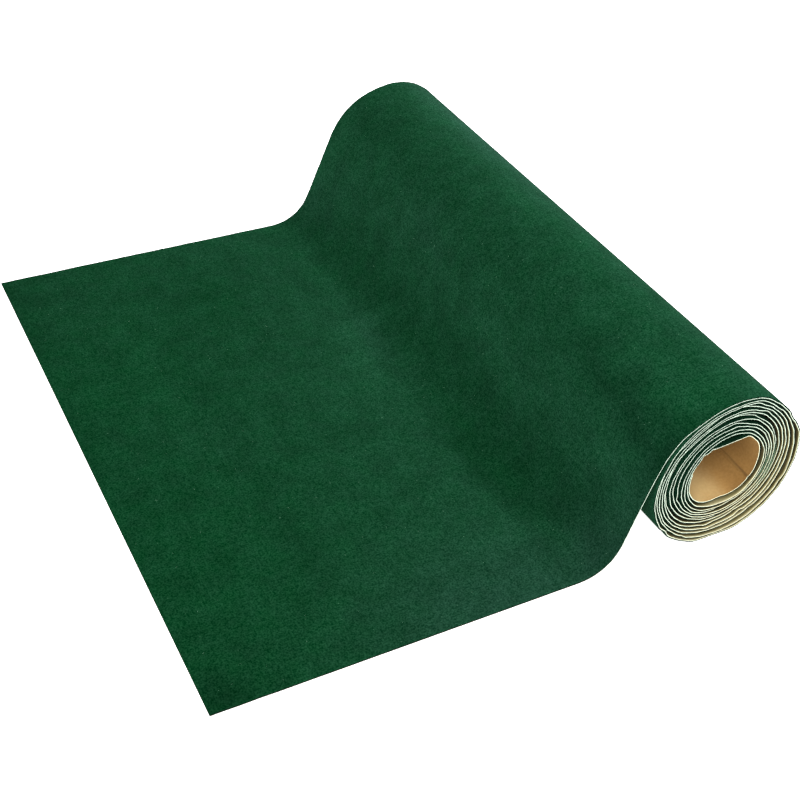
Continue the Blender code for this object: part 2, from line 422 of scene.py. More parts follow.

# How light the pile looks: partly how it lies, partly painted light and shade. There is painted light before
# the foot of the loose end, painted shade in the valley at its foot and on the turns that others cover, and
# painted highlights towards the top of the roll. By the way from the cut edge in mm, and in patches
LAY_AND_PAINTED_LIGHT_ALONG = (
    (0, 0.91), (30, 0.97), (60, 1.03), (90, 1.03), (120, 1.13), (150, 1.19), (182, 1.30),
    (196, 1.25), (206, 1.09), (216, 0.94), (226, 0.82), (238, 0.88), (250, 0.97), (266, 1.04),
    (282, 1.00), (296, 0.93), (306, 0.88), (316, 0.90), (326, 1.00), (338, 1.12), (348, 1.29),
    (358, 1.36), (370, 1.26), (386, 1.16), (400, 1.16), (460, 1.0), (640, 1.0), (690, 0.45),
)
LAY_AND_PAINTED_LIGHT_PATCHES = (
    (193, 230, 9, 42, 0.0, 0.26),
    (205, 325, 8, 120, 0.0, 0.26),
    (204, 110, 9, 60, 0.0, -0.16),
    (222, 60, 11, 70, 0.0, -0.13),
    (236, 290, 12, 110, 0.0, 0.08),
    (250, 40, 17, 55, 0.0, -0.10),
    (264, 150, 11, 30, 0.15, 0.12),
    (301, 42, 12, 48, 0.12, -0.26),
    (336, 32, 12, 27, 0.0, 0.12),
    (352, 330, 18, 90, 0.0, 0.10),
    (352, 60, 14, 60, 0.0, -0.09),
    (290, -2, 75, 11, 0.0, -0.26),
    (6, 2, 26, 16, 0.4, -0.28),
    (0, 390, 16, 50, 0.0, -0.14),
    (58, 300, 13, 60, 0.1, 0.10),
    (22, 270, 14, 40, 0.1, 0.10),
    (150, 205, 24, 40, 0.0, 0.07),
    (84, 80, 16, 26, -0.3, -0.06),
    (90, 210, 18, 22, -0.3, -0.06),
    (150, 0, 60, 40, 0.0, -0.07),
    (60, 230, 40, 90, 0.0, 0.05),
    (212, 0, 14, 24, 0.0, 0.08),
    (292, 6, 16, 26, 0.0, -0.11),
    (372, 8, 20, 20, 0.0, 0.09),
    (375, 300, 30, 120, 0.0, 0.05),
    (412, 6, 12, 14, 0.0, 0.25),
)
painted_light_and_lay = np.interp(wandering, *zip(*LAY_AND_PAINTED_LIGHT_ALONG)) * (1.0 + patches(LAY_AND_PAINTED_LIGHT_PATCHES))

# How greyish the pile looks, from 0, a full green, to 1: partly a bloom where it is bent over, partly painted
# sheen, strongest towards the top of the roll
BLOOM_AND_SHEEN_ALONG = (
    (0, 0.05), (60, 0.10), (100, 0.22), (130, 0.32), (190, 0.42), (212, 0.30), (230, 0.24), (250, 0.36),
    (270, 0.45), (310, 0.32), (330, 0.34), (350, 0.32), (370, 0.58), (390, 0.85), (410, 0.58),
)
BLOOM_AND_SHEEN_PATCHES = (
    (155, 0, 70, 48, 0.0, 0.60),
    (225, 0, 22, 26, 0.0, 0.45),
    (258, 0, 26, 30, 0.0, 0.25),
    (332, 5, 20, 30, 0.0, -0.20),
    (30, 370, 60, 65, 0.0, 0.20),
    (240, 385, 20, 30, 0.0, 0.30),
    (205, 250, 10, 40, 0.0, 0.35),
    (212, 100, 9, 60, 0.0, -0.25),
    (70, 190, 22, 30, -0.3, 0.16),
    (20, 190, 22, 40, 0.2, 0.10),
    (130, 320, 16, 34, 0.0, -0.20),
    (290, 260, 14, 30, 0.0, 0.25),
    (378, 320, 28, 110, 0.0, 0.80),
    (412, 4, 14, 14, 0.0, 0.9),
)
MOST_BLOOM_AND_SHEEN = 1.8
bloom_and_painted_sheen = np.interp(wandering, *zip(*BLOOM_AND_SHEEN_ALONG)) + patches(BLOOM_AND_SHEEN_PATCHES)
bloom_and_painted_sheen = np.clip(bloom_and_painted_sheen, 0.0, MOST_BLOOM_AND_SHEEN)

# Cut edges are pale, but dark where the loose end lies flat: there the darkening is painted shade, next to
# the floor
EDGE_FROM_CUT = (205, 238)
EDGE_LIGHT = (0.10, 1.0)
edge_light = np.interp(from_cut, EDGE_FROM_CUT, EDGE_LIGHT)

# Rows of the mesh: all of them on the outside, and fewer on what the turns outside it cover
FINE_UP_TO = 0.97  # turns in
COARSE_MIDDLE_ROWS = [11, 16, 21, 26, 31]
fine_rows = list(range(len(rows_in)))
edge_rows = len(SELVEDGE_ROWS)
coarse_rows = fine_rows[:edge_rows] + COARSE_MIDDLE_ROWS + fine_rows[-edge_rows:]
rows_of = [coarse_rows if turns > FINE_UP_TO else fine_rows for turns in column_turns]
RIM_SHARP_DEG = 50.0  # from which an edge of the mesh looks sharp


def lay_sheet(name, depths, finishes, marks, edge_round=0.0, uneven=None):
    """A closed sheet between two depths below the tips of the pile, with rims along all its edges.

    finishes are for its top, each strip of a rim from one depth to the next, and its bottom. marks are
    numbers for every place on the cloth, kept as attributes of the mesh. edge_round lowers the top at the
    rims, and uneven says by how much each depth varies there.
    """
    verts, uvs, places, faces, face_finish, index = [], [], [], [], [], {}
    last_column, last_row = len(rows_of) - 1, len(rows_in) - 1
    unevenness = np.random.default_rng(21).uniform(-1.0, 1.0, (len(depths), 2, len(rows_of)))

    def point(layer, c, j):
        key = (layer, c, j)
        if key not in index:
            depth = depths[layer]
            on_edge = j in (0, last_row) or c in (0, last_column)
            if on_edge and uneven:
                depth += uneven[layer] * unevenness[layer, min(j, 1), c]
            if on_edge and layer == 0:
                depth += edge_round
            x = line_x[c, j] + inward_x[c, j] * depth
            z = line_z[c, j] + inward_z[c, j] * depth
            index[key] = len(verts)
            verts.append((x, line_y[c, j], max(z, 0.0)))  # nothing goes below what the roll rests on
            uvs.append((rows_in[j], cloth_arc[c]))
            places.append((c, j))
        return index[key]

    def add(corners, finish):
        faces.append([point(*corner) for corner in corners])
        face_finish.append(finish)

    bottom = len(depths) - 1
    for c in range(last_column):
        here, there = rows_of[c], rows_of[c + 1]
        coarse = here if len(here) <= len(there) else there
        for a, b in zip(coarse, coarse[1:]):
            left = [j for j in here if a <= j <= b]
            right = [j for j in there if a <= j <= b]
            for layer in (0, bottom):
                ring = [(layer, c, j) for j in left] + [(layer, c + 1, j) for j in reversed(right)]
                add(ring if layer == 0 else ring[::-1], finishes[0 if layer == 0 else -1])
        for layer in range(bottom):
            strip = finishes[layer + 1]
            add([(layer, c, 0), (layer, c + 1, 0), (layer + 1, c + 1, 0), (layer + 1, c, 0)], strip)
            add([(layer, c + 1, last_row), (layer, c, last_row), (layer + 1, c, last_row),
                 (layer + 1, c + 1, last_row)], strip)
    for c in (0, last_column):
        for a, b in zip(rows_of[c], rows_of[c][1:]):
            for layer in range(bottom):
                ring = [(layer, c, b), (layer, c, a), (layer + 1, c, a), (layer + 1, c, b)]
                add(ring if c == 0 else ring[::-1], finishes[layer + 1])

    mesh = bpy.data.meshes.new(name)
    mesh.from_pydata(verts, [], faces)
    corner_verts = np.empty(len(mesh.loops), int)
    mesh.loops.foreach_get("vertex_index", corner_verts)
    layer_map = mesh.uv_layers.new(name="cloth_metres")
    layer_map.uv.foreach_set("vector", np.array(uvs, np.float32)[corner_verts].ravel())
    columns, rows = np.array(places).T
    for mark, values in marks.items():
        kept = np.ascontiguousarray(values[columns, rows], np.float32)
        mesh.attributes.new(mark, "FLOAT", "POINT").data.foreach_set("value", kept)
    mesh.polygons.foreach_set("material_index", face_finish)
    mesh.shade_smooth()
    mesh.set_sharp_from_angle(angle=math.radians(RIM_SHARP_DEG))
    piece = bpy.data.objects.new(name, mesh)
    bpy.context.scene.collection.objects.link(piece)
    return piece


def linear(hex_colour):
    """An sRGB colour such as 1f4b2d as the linear one that shaders take."""
    parts = [int(hex_colour[i:i + 2], 16) / 255.0 for i in (0, 2, 4)]
    light = [p / 12.92 if p <= 0.04045 else ((p + 0.055) / 1.055) ** 2.4 for p in parts]
    return (*light, 1.0)


def add_node(tree, kind, inputs=None, **settings):
    """Adds a node. An input is a value, or another node's output socket to link."""
    node = tree.nodes.new(kind)
    for name, value in settings.items():
        setattr(node, name, value)
    for name, value in (inputs or {}).items():
        if isinstance(value, bpy.types.NodeSocket):
            tree.links.new(value, node.inputs[name])
        else:
            node.inputs[name].default_value = value
    return node


def new_material(name, **constants):
    """A Principled material with its constant sockets set. Returns it, its tree and the shader."""
    material = bpy.data.materials.new(name)
    material.use_nodes = True
    shader = material.node_tree.nodes["Principled BSDF"]
    for socket, value in constants.items():
        shader.inputs[socket.replace("_", " ")].default_value = value
    return material, material.node_tree, shader


# The pile's grain, its clumps, its mottled bloom, and the clouds that stroking left. Real tufts stand
# about 0.4 mm apart, too fine to show, so the grain and the clumps are drawn coarser.
TUFTS = 1.0 * MM
CLUMPS = 3.0 * MM
MOTTLES = 12.0 * MM
CLOUDS = 19.0 * MM
TUFT_BUMP = 0.1 * MM
MOTTLED_BY = 0.10
CLOUDED_BY = 0.13


def cotton_velvet():
    """Cut cotton pile. It takes light in, so it is deep green and matt, light where its slope shows. The
    painted light, shade and sheen in the cloth's marks lighten and darken its colour.
    """
    material, tree, shader = new_material("cut_cotton_velvet", Roughness=1.0)
    shader.inputs["Specular IOR Level"].default_value = 0.0
    shader.inputs["Sheen Weight"].default_value = 0.022
    shader.inputs["Sheen Roughness"].default_value = 0.3
    shader.inputs["Sheen Tint"].default_value = linear("9fc9ab")
    cloth = add_node(tree, "ShaderNodeUVMap", uv_map="cloth_metres").outputs["UV"]

    # The grain: single tufts and clumps, full green between them where there is no bloom or painted sheen
    tufts = add_node(tree, "ShaderNodeTexNoise", {
        "Vector": cloth, "Scale": 1 / TUFTS, "Detail": 1.0, "Roughness": 0.7}, noise_dimensions="2D")
    clumps = add_node(tree, "ShaderNodeTexNoise", {
        "Vector": cloth, "Scale": 1 / CLUMPS, "Detail": 2.0, "Roughness": 0.85}, noise_dimensions="2D")
    height = add_node(tree, "ShaderNodeMix", {0: 0.38, 2: tufts.outputs["Fac"], 3: clumps.outputs["Fac"]})
    grain = add_node(tree, "ShaderNodeMapRange", {
        "Value": height.outputs[0], "From Min": 0.36, "From Max": 0.66}).outputs["Result"]
    full = add_node(tree, "ShaderNodeMix", {
        0: grain, 6: linear("00250f"), 7: linear("123c23")}, data_type="RGBA")
    greyish = add_node(tree, "ShaderNodeMix", {
        0: grain, 6: linear("09281a"), 7: linear("1f4030")}, data_type="RGBA")

    # The bloom and painted sheen, mottled
    mottles = add_node(tree, "ShaderNodeTexNoise", {
        "Vector": cloth, "Scale": 1 / MOTTLES, "Detail": 2.0, "Roughness": 0.6}, noise_dimensions="2D")
    mottled = add_node(tree, "ShaderNodeMapRange", {
        "Value": mottles.outputs["Fac"], "From Min": 0.3, "From Max": 0.7,
        "To Min": -MOTTLED_BY, "To Max": MOTTLED_BY})
    bloom_and_sheen = add_node(tree, "ShaderNodeAttribute", attribute_name="bloom_and_painted_sheen").outputs["Fac"]
    bloom_and_sheen = add_node(tree, "ShaderNodeMath", {0: bloom_and_sheen, 1: mottled.outputs["Result"]}, operation="ADD")
    bloomed_and_sheened = add_node(tree, "ShaderNodeMix", {
        0: bloom_and_sheen.outputs["Value"], 6: full.outputs[2], 7: greyish.outputs[2]},
        data_type="RGBA", clamp_factor=False)

    # The lay and its painted light and shade, clouded
    clouds = add_node(tree, "ShaderNodeTexNoise", {
        "Vector": cloth, "Scale": 1 / CLOUDS, "Detail": 3.0, "Roughness": 0.6}, noise_dimensions="2D")
    clouded = add_node(tree, "ShaderNodeMapRange", {
        "Value": clouds.outputs["Fac"], "From Min": 0.3, "From Max": 0.7,
        "To Min": 1.0 - CLOUDED_BY, "To Max": 1.0 + CLOUDED_BY})
    lay_and_painted_light = add_node(tree, "ShaderNodeAttribute", attribute_name="painted_light_and_lay").outputs["Fac"]
    light = add_node(tree, "ShaderNodeMath", {0: clouded.outputs["Result"], 1: lay_and_painted_light}, operation="MULTIPLY")
    lit_and_shaded = add_node(tree, "ShaderNodeVectorMath", {
        0: bloomed_and_sheened.outputs[2], "Scale": light.outputs["Value"]}, operation="SCALE")
    tree.links.new(lit_and_shaded.outputs["Vector"], shader.inputs["Base Color"])
    bump = add_node(tree, "ShaderNodeBump", {
        "Strength": 0.15, "Distance": TUFT_BUMP, "Height": height.outputs[0]})
    tree.links.new(bump.outputs["Normal"], shader.inputs["Normal"])
    return material


CUT_THREADS = 0.8 * MM  # real threads are about half as thick, too fine to show
CUT_TUFTS = 0.9 * MM  # and so are real tufts in section


def ground_cloth():
    """Unbleached woven cotton, seen only where it is cut: a pale dull line with threads in it."""
    material, tree, shader = new_material("unbleached_ground_cloth", Roughness=0.9)
    place = add_node(tree, "ShaderNodeTexCoord").outputs["Object"]
    threads = add_node(tree, "ShaderNodeTexNoise", {"Vector": place, "Scale": 1 / CUT_THREADS, "Detail": 2.0})
    shades = add_node(tree, "ShaderNodeMix", {
        0: threads.outputs["Fac"], 6: linear("b2c6b2"), 7: linear("daead8")}, data_type="RGBA")
    # edge_light darkens the cut edge with painted shade where the loose end lies flat
    light = add_node(tree, "ShaderNodeAttribute", attribute_name="edge_light").outputs["Fac"]
    lit = add_node(tree, "ShaderNodeVectorMath", {0: shades.outputs[2], "Scale": light}, operation="SCALE")
    tree.links.new(lit.outputs["Vector"], shader.inputs["Base Color"])
    return material


def cut_pile():
    """The same pile in section along a cut edge. Seen from its side it takes in nearly all light, and it is
    drawn darker still as painted shade in the gaps between the turns.
    """
    material, tree, shader = new_material("cut_cotton_pile", Roughness=1.0)
    shader.inputs["Specular IOR Level"].default_value = 0.0
    place = add_node(tree, "ShaderNodeTexCoord").outputs["Object"]
    tufts = add_node(tree, "ShaderNodeTexNoise", {"Vector": place, "Scale": 1 / CUT_TUFTS, "Detail": 1.0})
    shades = add_node(tree, "ShaderNodeMix", {
        0: tufts.outputs["Fac"], 6: linear("060f0a"), 7: linear("0e1f16")}, data_type="RGBA")
    tree.links.new(shades.outputs[2], shader.inputs["Base Color"])
    return material


velvet = lay_sheet("velvet_pile_side", (0.0, PILE_HEIGHT, GROUND_DEPTH), (0, 2, 1, 1),
                   {"painted_light_and_lay": painted_light_and_lay, "bloom_and_painted_sheen": bloom_and_painted_sheen, "edge_light": edge_light},
                   edge_round=PILE_EDGE_ROUND, uneven=PILE_UNEVEN)
for material in (cotton_velvet(), ground_cloth(), cut_pile()):
    velvet.data.materials.append(material)
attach(velvet, "root")
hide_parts("velvet_cloth")

# ---------------------------------------------------------------------------------------------
# Backing paper. Brown kraft paper, smooth on the side that shows, with short fibres in it and a
# paler cut edge. It is stuck to the ground cloth and stiffens it.
# ---------------------------------------------------------------------------------------------
PAPER_TOP = 0.97 * MM
PAPER_UNEVEN = (0.0, 0.04 * MM)
CREASE_SLANT = 0.04  # how far the crease wanders along the cloth for each metre across it
crease_at = wound_arc[-1] - crease_arc

# Painted light and shade on the paper, in the bore and down the gaps between the turns: on which turn, where,
# how wide, how far in, and by how much
PAPER_PAINTED_LIGHT_COLUMNS = ("turn", "degrees", "half_width_deg", "reach_mm", "amount")
PAPER_PAINTED_LIGHT = (
    (12, 240, 38, 150, 1.50),
    (12, 250, 20, 10, -1.10),
    (12, 307, 28, 14, -0.45),
    (12, 5, 45, 40, -0.30),
    (12, 285, 40, 900, 0.08),
    (12, 330, 30, 900, -0.10),
    (11, 265, 45, 900, 1.80),
    (11, 322, 32, 900, 0.55),
    (11, 338, 26, 900, 0.60),
    (0, 322, 35, 900, -0.75),
    (0, 245, 14, 900, 0.60),
)
# Painted light and shade on every turn that another one covers: degrees, half width, amount
COVERED_PAINTED_SHADE = (
    (5, 42, -0.50),
    (275, 30, 0.06),
    (338, 24, -0.15),
)


def turn_bell(degrees, half_width):
    """How near each column is to a direction from the roll's centre, whichever turn it is on."""
    off = (90.0 - 360.0 * column_turns - degrees + 180.0) % 360.0 - 180.0
    return bell(off, half_width)


# On turns that others cover the paper is drawn darker and olive: painted shade, tinted by green light thrown
# back from the pile. On the loose end and in the bore it keeps its own brown.
GAP_SHADE_STARTS = (0.0, 0.15)  # turns in
GAP_SHADE_STOPS = (1.06, 1.0)  # turns before the inner end
painted_gap_shade = np.interp(column_turns, GAP_SHADE_STARTS, (0.0, 1.0))
painted_gap_shade *= np.interp(column_turns - end_turns, np.negative(GAP_SHADE_STOPS), (1.0, 0.0))
paper_light = 1.0 + sum(amount * turn_bell(*where) for *where, amount in COVERED_PAINTED_SHADE) * painted_gap_shade
paper_light = paper_light[:, None] + np.zeros(len(rows_in))
for row in PAPER_PAINTED_LIGHT:
    shade = dict(zip(PAPER_PAINTED_LIGHT_COLUMNS, row))
    distance = (column_turns - turns_in(shade["turn"], shade["degrees"])) * 360.0
    fade = np.exp(-rows_in / (shade["reach_mm"] * MM))
    paper_light += shade["amount"] * bell(distance, shade["half_width_deg"])[:, None] * fade
painted_gap_shade = painted_gap_shade[:, None] + np.zeros(len(rows_in))

# Along its edge that paper is drawn paler, painted light where the edge catches it, and deeper in the gaps
# darker, painted shade, most between the inner turns
GAP_DEPTHS = (0.0, 0.5, 1.3)  # mm
OUTER_GAPS = (1.3, 0.7, -0.3)
INNER_GAPS = (1.2, -0.9, -1.6)
OUTER_TO_INNER = (3.0, 6.5)  # turns in
outer_gaps = np.interp(rows_in / MM, GAP_DEPTHS, OUTER_GAPS)
inner_gaps = np.interp(rows_in / MM, GAP_DEPTHS, INNER_GAPS)
inner_share = np.interp(column_turns, OUTER_TO_INNER, (0.0, 1.0))[:, None]
paper_light += painted_gap_shade * ((1.0 - inner_share) * outer_gaps + inner_share * inner_gaps)

# The cut edges are creamier low on the roll and round the bore: at what degrees, and half how widely
CREAMY_LOW = (300, 75)
CREAMY_BORE = (15, 75)
from_bore_middle = (column_turns - turns_in(LAST_TURN, CREAMY_BORE[0])) * 360.0
edge_cream = turn_bell(*CREAMY_LOW) + bell(from_bore_middle, CREAMY_BORE[1])
edge_cream = edge_cream[:, None] + np.zeros(len(rows_in))

PAPER_FIBRES = 1.5 * MM
PAPER_PATCHES = 20.0 * MM
SPECKLED_BY = 0.08
# The crease in painted shade: a thin dark line along it, and the facet beyond it darker
CREASE_HALF_WIDTHS = (0.1 * MM, 0.7 * MM)  # of its line, where it is darkest and where it ends
CREASE_DARK = 0.62
CREASE_SHADE_OVER = (-3.0 * MM, 9.0 * MM)  # from this side of the crease to beyond it
CREASE_SHADE_BY = 0.84


def kraft_paper():
    """Unbleached kraft paper: a warm dull brown, softly speckled by its fibres. Painted light and shade make
    it darker and lighter, and olive in the shaded gaps.
    """
    material, tree, shader = new_material("unbleached_kraft_paper", Roughness=0.75)
    shader.inputs["Specular IOR Level"].default_value = 0.2
    place = add_node(tree, "ShaderNodeTexCoord").outputs["Object"]
    fibres = add_node(tree, "ShaderNodeTexNoise", {"Vector": place, "Scale": 1 / PAPER_FIBRES, "Detail": 4.0})
    patchy = add_node(tree, "ShaderNodeTexNoise", {
        "Vector": place, "Scale": 1 / PAPER_PATCHES, "Detail": 3.0})
    speckles = add_node(tree, "ShaderNodeMath", {
        0: patchy.outputs["Fac"], 1: 0.4, 2: fibres.outputs["Fac"]}, operation="MULTIPLY_ADD")
    speckled = add_node(tree, "ShaderNodeMapRange", {
        "Value": speckles.outputs["Value"], "From Min": 0.52, "From Max": 0.88,
        "To Min": -SPECKLED_BY, "To Max": SPECKLED_BY})
    tone = add_node(tree, "ShaderNodeAttribute", attribute_name="paper_light").outputs["Fac"]
    tone = add_node(tree, "ShaderNodeMath", {0: tone, 1: speckled.outputs["Result"]}, operation="ADD")
    # The tone runs each ramp from the paper in painted shade, through its own colour, to the paper in painted
    # light; the second ramp is for the olive, shaded gaps
    reach = add_node(tree, "ShaderNodeMapRange", {
        "Value": tone.outputs["Value"], "From Min": 0.4, "From Max": 2.0}).outputs["Result"]
    bare_paper = add_node(tree, "ShaderNodeValToRGB", {"Fac": reach})
    gap_shaded = add_node(tree, "ShaderNodeValToRGB", {"Fac": reach})
    for ramp, colours in ((bare_paper, ("6b4b20", "9b7845", "c9ad78")), (gap_shaded, ("4d4628", "8e8557", "d2c99e"))):
        stops = ramp.color_ramp.elements
        stops.new(0.375)  # the middle colour is the paper's own, at a lightness of 1
        for stop, colour in zip(stops, colours):
            stop.color = linear(colour)
    gap_shade = add_node(tree, "ShaderNodeAttribute", attribute_name="painted_gap_shade").outputs["Fac"]
    shades = add_node(tree, "ShaderNodeMix", {
        0: gap_shade, 6: bare_paper.outputs["Color"], 7: gap_shaded.outputs["Color"]}, data_type="RGBA")

    # Beyond the crease the paper is darker, painted shade on the facet that turns from the light, and along
    # it there is a thin dark line of painted shade
    cloth = add_node(tree, "ShaderNodeUVMap", uv_map="cloth_metres").outputs["UV"]
    spread = add_node(tree, "ShaderNodeSeparateXYZ", {"Vector": cloth})
    slant = add_node(tree, "ShaderNodeMath", {0: spread.outputs["X"], 1: CREASE_SLANT}, operation="MULTIPLY")
    along = add_node(tree, "ShaderNodeMath", {
        0: spread.outputs["Y"], 1: slant.outputs["Value"]}, operation="SUBTRACT")
    past = add_node(tree, "ShaderNodeMath", {0: along.outputs["Value"], 1: crease_at}, operation="SUBTRACT")
    shaded_beyond = add_node(tree, "ShaderNodeMapRange", {
        "Value": past.outputs["Value"], "From Min": CREASE_SHADE_OVER[0], "From Max": CREASE_SHADE_OVER[1],
        "To Min": 1.0, "To Max": CREASE_SHADE_BY})
    off = add_node(tree, "ShaderNodeMath", {0: past.outputs["Value"]}, operation="ABSOLUTE")
    line = add_node(tree, "ShaderNodeMapRange", {
        "Value": off.outputs["Value"], "From Min": CREASE_HALF_WIDTHS[0], "From Max": CREASE_HALF_WIDTHS[1],
        "To Min": CREASE_DARK})
    light = add_node(tree, "ShaderNodeMath", {
        0: shaded_beyond.outputs["Result"], 1: line.outputs["Result"]}, operation="MULTIPLY")
    creased = add_node(tree, "ShaderNodeVectorMath", {
        0: shades.outputs[2], "Scale": light.outputs["Value"]}, operation="SCALE")
    tree.links.new(creased.outputs["Vector"], shader.inputs["Base Color"])
    return material


CUT_LAYERS = 1.0 * MM  # the layers of real paper are far thinner, too fine to show


def paper_edge():
    """Cut paper and its adhesive: a pale dull line, cream low on the roll, else tinged with green."""
    material, tree, shader = new_material("cut_paper_edge", Roughness=0.85)
    place = add_node(tree, "ShaderNodeTexCoord").outputs["Object"]
    layers = add_node(tree, "ShaderNodeTexNoise", {"Vector": place, "Scale": 1 / CUT_LAYERS, "Detail": 2.0})
    minty = add_node(tree, "ShaderNodeMix", {
        0: layers.outputs["Fac"], 6: linear("afc5b0"), 7: linear("d6ead5")}, data_type="RGBA")
    creamy = add_node(tree, "ShaderNodeMix", {
        0: layers.outputs["Fac"], 6: linear("dfd8ac"), 7: linear("fcf6d0")}, data_type="RGBA")
    cream = add_node(tree, "ShaderNodeAttribute", attribute_name="edge_cream").outputs["Fac"]
    shades = add_node(tree, "ShaderNodeMix", {
        0: cream, 6: minty.outputs[2], 7: creamy.outputs[2]}, data_type="RGBA")
    # edge_light darkens the cut edge with painted shade where the loose end lies flat
    light = add_node(tree, "ShaderNodeAttribute", attribute_name="edge_light").outputs["Fac"]
    lit = add_node(tree, "ShaderNodeVectorMath", {0: shades.outputs[2], "Scale": light}, operation="SCALE")
    tree.links.new(lit.outputs["Vector"], shader.inputs["Base Color"])
    return material


paper = lay_sheet("backing_paper_side", (PAPER_TOP, CLOTH_THICKNESS), (1, 1, 0),
                  {"paper_light": paper_light, "painted_gap_shade": painted_gap_shade,
                   "edge_light": edge_light, "edge_cream": edge_cream}, uneven=PAPER_UNEVEN)
paper.data.materials.append(kraft_paper())
paper.data.materials.append(paper_edge())
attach(paper, "root")
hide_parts("velvet_cloth")

# ---------------------------------------------------------------------------------------------
# Loose pile. Tufts that cutting left hanging out over the cut edges, thickest on one stretch of the
# inner turns, and a little lint lying on the outside. Each is a thin three-sided hair with a bend.
# ---------------------------------------------------------------------------------------------
TUFT_SPACING = 0.7 * MM
TUFT_LENGTHS = (0.25 * MM, 0.8 * MM)
TUFT_RADIUS = 0.065 * MM  # real fibres are finer, so each hair stands for a few of them
TUFT_BEND = 0.12  # how far its middle stands aside, as a share of its length
TUFT_ROOT_DEPTHS = (0.15 * MM, 0.70 * MM)
TUFT_LIFT = (0.05, 0.30)  # how far a tuft points out of the cloth, its middle and spread
TUFT_SLANT = 0.5  # and along it
FRAYED_TURNS = (6, 11)  # the stretch with the most loose pile, in turns in: up to this one
FRAYED_DEG = (348.0, 13.0)  # its middle, and how widely it spreads
FRAYED_LIFT = (0.3, 0.9)
FRAYED_LONGER = 1.7
FRAYED_TUFTS = 1300
chance = np.random.default_rng(12)


def on_cloth(along, across_it, depth):
    """Points of the cloth, and the ways along it, across it and out of it, at places from the inner end."""
    c = np.interp(along, cloth_arc, np.arange(len(cloth_arc)))
    j = np.interp(across_it, rows_in, np.arange(len(rows_in)))
    c0 = np.minimum(c.astype(int), len(cloth_arc) - 2)
    j0 = np.minimum(j.astype(int), len(rows_in) - 2)
    s, t = (c - c0)[:, None], (j - j0)[:, None]
    grid = np.stack((line_x, line_y, line_z), axis=-1)
    corner = [grid[c0 + a, j0 + b] for a in (0, 1) for b in (0, 1)]
    point = (1 - s) * ((1 - t) * corner[0] + t * corner[1]) + s * ((1 - t) * corner[2] + t * corner[3])
    ahead = corner[2] - corner[0]
    ahead /= np.linalg.norm(ahead, axis=1, keepdims=True)
    aside = np.zeros_like(ahead)
    aside[:, 1] = 1.0
    outward = np.cross(aside, ahead)
    return point - outward * depth[:, None], ahead, aside, outward


FACES_PER_HAIR = 8


def hairs(name, roots, ways, lengths, radius, bend):
    """Three-sided tapering hairs in one mesh, each bent half-way along.

    One that would reach below what the roll rests on is lifted as a whole, so that it lies on it.
    """
    ways = ways / np.linalg.norm(ways, axis=1, keepdims=True)
    sideways = np.cross(ways, chance.normal(size=ways.shape))
    sideways /= np.linalg.norm(sideways, axis=1, keepdims=True)
    upright = np.cross(ways, sideways)
    middles = roots + ways * (0.5 * lengths)[:, None] + sideways * (bend * lengths)[:, None]
    tips = roots + ways * lengths[:, None]
    rings = []
    for centre, taper in ((roots, 1.0), (middles, 0.75), (tips, 0.25)):
        for k in range(3):
            turned = 2.0 * math.pi * k / 3.0
            outwards = math.cos(turned) * sideways + math.sin(turned) * upright
            rings.append(centre + taper * radius * outwards)
    verts = np.stack(rings, axis=1)
    verts[:, :, 2] += np.maximum(-verts[:, :, 2].min(axis=1, keepdims=True), 0.0)
    verts = verts.reshape(-1, 3)
    quads = [(3 * r + k, 3 * r + (k + 1) % 3, 3 * r + 3 + (k + 1) % 3, 3 * r + 3 + k)
             for r in (0, 1) for k in range(3)]
    ends = [(2, 1, 0), (6, 7, 8)]
    faces = [tuple(9 * i + v for v in face) for i in range(len(roots)) for face in quads + ends]
    mesh = bpy.data.meshes.new(name)
    mesh.from_pydata(verts.tolist(), [], faces)
    mesh.shade_smooth()
    piece = bpy.data.objects.new(name, mesh)
    bpy.context.scene.collection.objects.link(piece)
    return piece


HAIR_SHADES = 1.5 * MM  # over how far the hairs' shade changes


def loose_cotton(name, dark, light):
    """Loose cotton fibres: matt, each in its own shade. Lint and frayed tufts are lighter than the pile they
    fell from; the tufts along the cut edges are drawn dark, as painted shade in the gaps between the turns.
    """
    material, tree, shader = new_material(name, Roughness=0.9)
    shader.inputs["Specular IOR Level"].default_value = 0.1
    place = add_node(tree, "ShaderNodeTexCoord").outputs["Object"]
    shade = add_node(tree, "ShaderNodeTexNoise", {"Vector": place, "Scale": 1 / HAIR_SHADES, "Detail": 1.0})
    shades = add_node(tree, "ShaderNodeMix", {
        0: shade.outputs["Fac"], 6: linear(dark), 7: linear(light)}, data_type="RGBA")
    tree.links.new(shades.outputs[2], shader.inputs["Base Color"])
    return material


# Where each tuft is rooted, how deep in the pile, and to which side it hangs out
along, across_it, side = [], [], []
count = int(cloth_arc[-1] / TUFT_SPACING)
for edge, hangs in ((0.0, -1.0), (CLOTH_WIDTH, 1.0)):
    along.append(chance.uniform(0.0, cloth_arc[-1], count))
    across_it.append(np.full(count, edge))
    side.append(np.full(count, hangs))
frayed_turns = chance.integers(*FRAYED_TURNS, FRAYED_TUFTS)
frayed_deg = chance.normal(*FRAYED_DEG, FRAYED_TUFTS)
along.append(wound_arc[-1] - np.interp(turns_in(frayed_turns, frayed_deg), fine_turns, fine_arc))
across_it.append(np.zeros(FRAYED_TUFTS))
side.append(np.full(FRAYED_TUFTS, -1.0))
along, across_it, side = (np.concatenate(part) for part in (along, across_it, side))
total = len(along)
frayed = np.arange(total) >= total - FRAYED_TUFTS
roots, ahead, aside, outward = on_cloth(along, across_it, chance.uniform(*TUFT_ROOT_DEPTHS, total))
lift = chance.normal(*TUFT_LIFT, total)
lift += np.where(frayed, chance.normal(*FRAYED_LIFT, total), 0.0)
slant = chance.normal(0.0, TUFT_SLANT, total)
